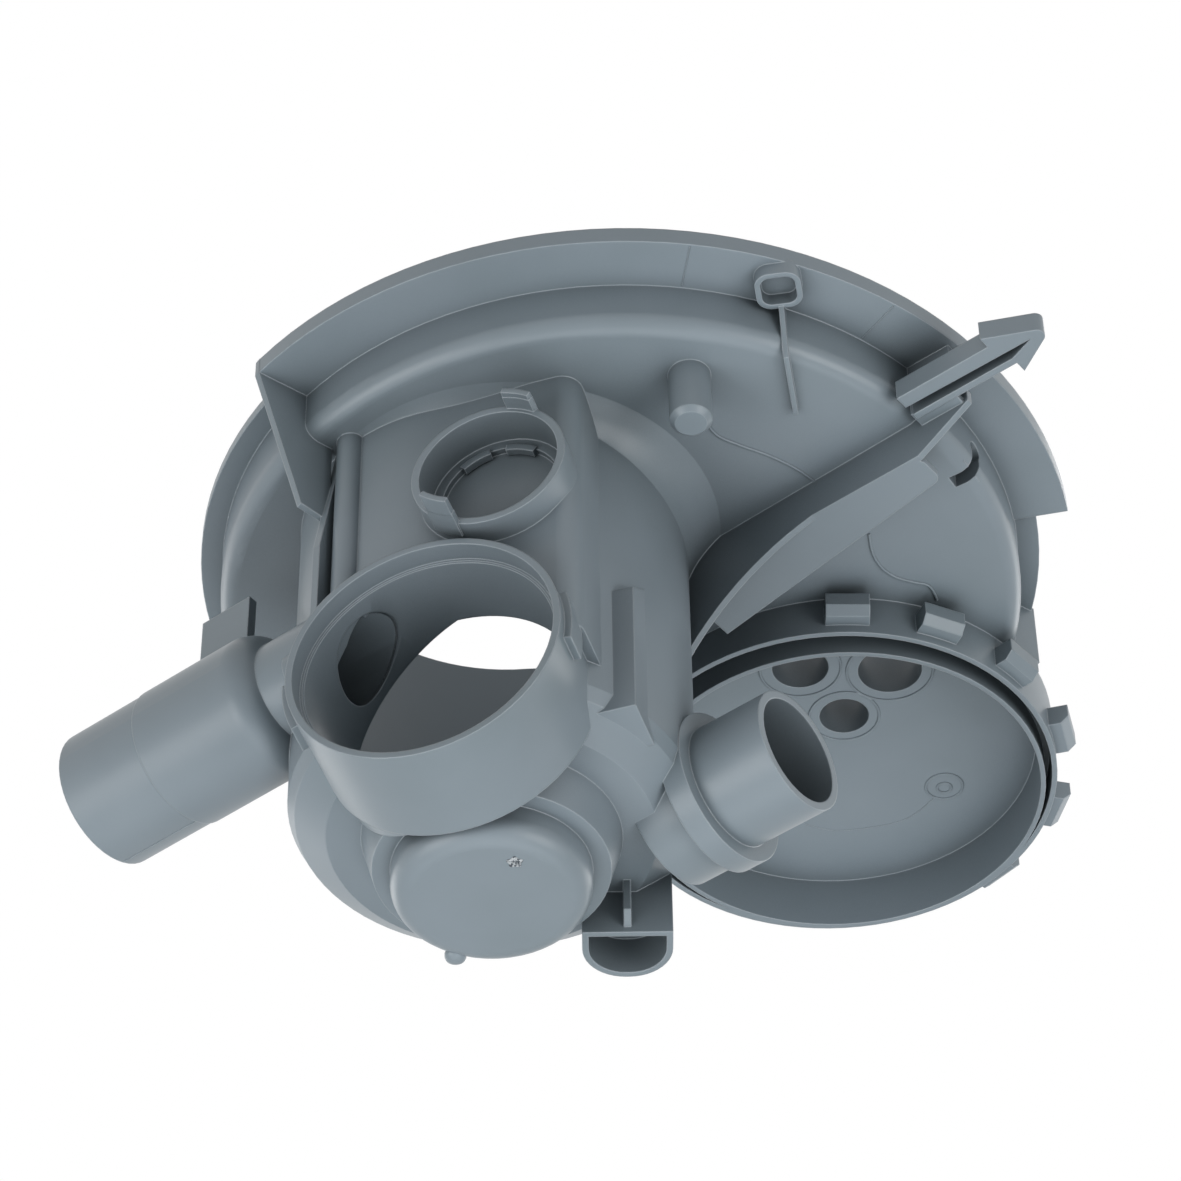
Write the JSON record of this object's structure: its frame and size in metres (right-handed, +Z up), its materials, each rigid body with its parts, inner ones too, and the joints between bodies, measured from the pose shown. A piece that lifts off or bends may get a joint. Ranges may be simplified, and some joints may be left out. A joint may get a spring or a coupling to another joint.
{
  "type": "dishwasher sump",
  "caption": "Moulded plastic dishwasher sump: round flanged bowl with a filter pot, pump and sensor sockets, suction tube, pressure stub and diverter chamber.",
  "frame": {"origin": "centre of the sealing flange, on its top face", "axes": "+Z points up into the tub; +X is the way the pressure stub points, and the suction tube points along -X; the pot hangs towards -Z"},
  "size_m": [0.2892, 0.2914, 0.1609],
  "materials": {
    "blue_grey_plastic": "satin, as moulded"
  },
  "bodies": {
    "root": {"sump_body": "blue_grey_plastic"}
  },
  "joints": []
}
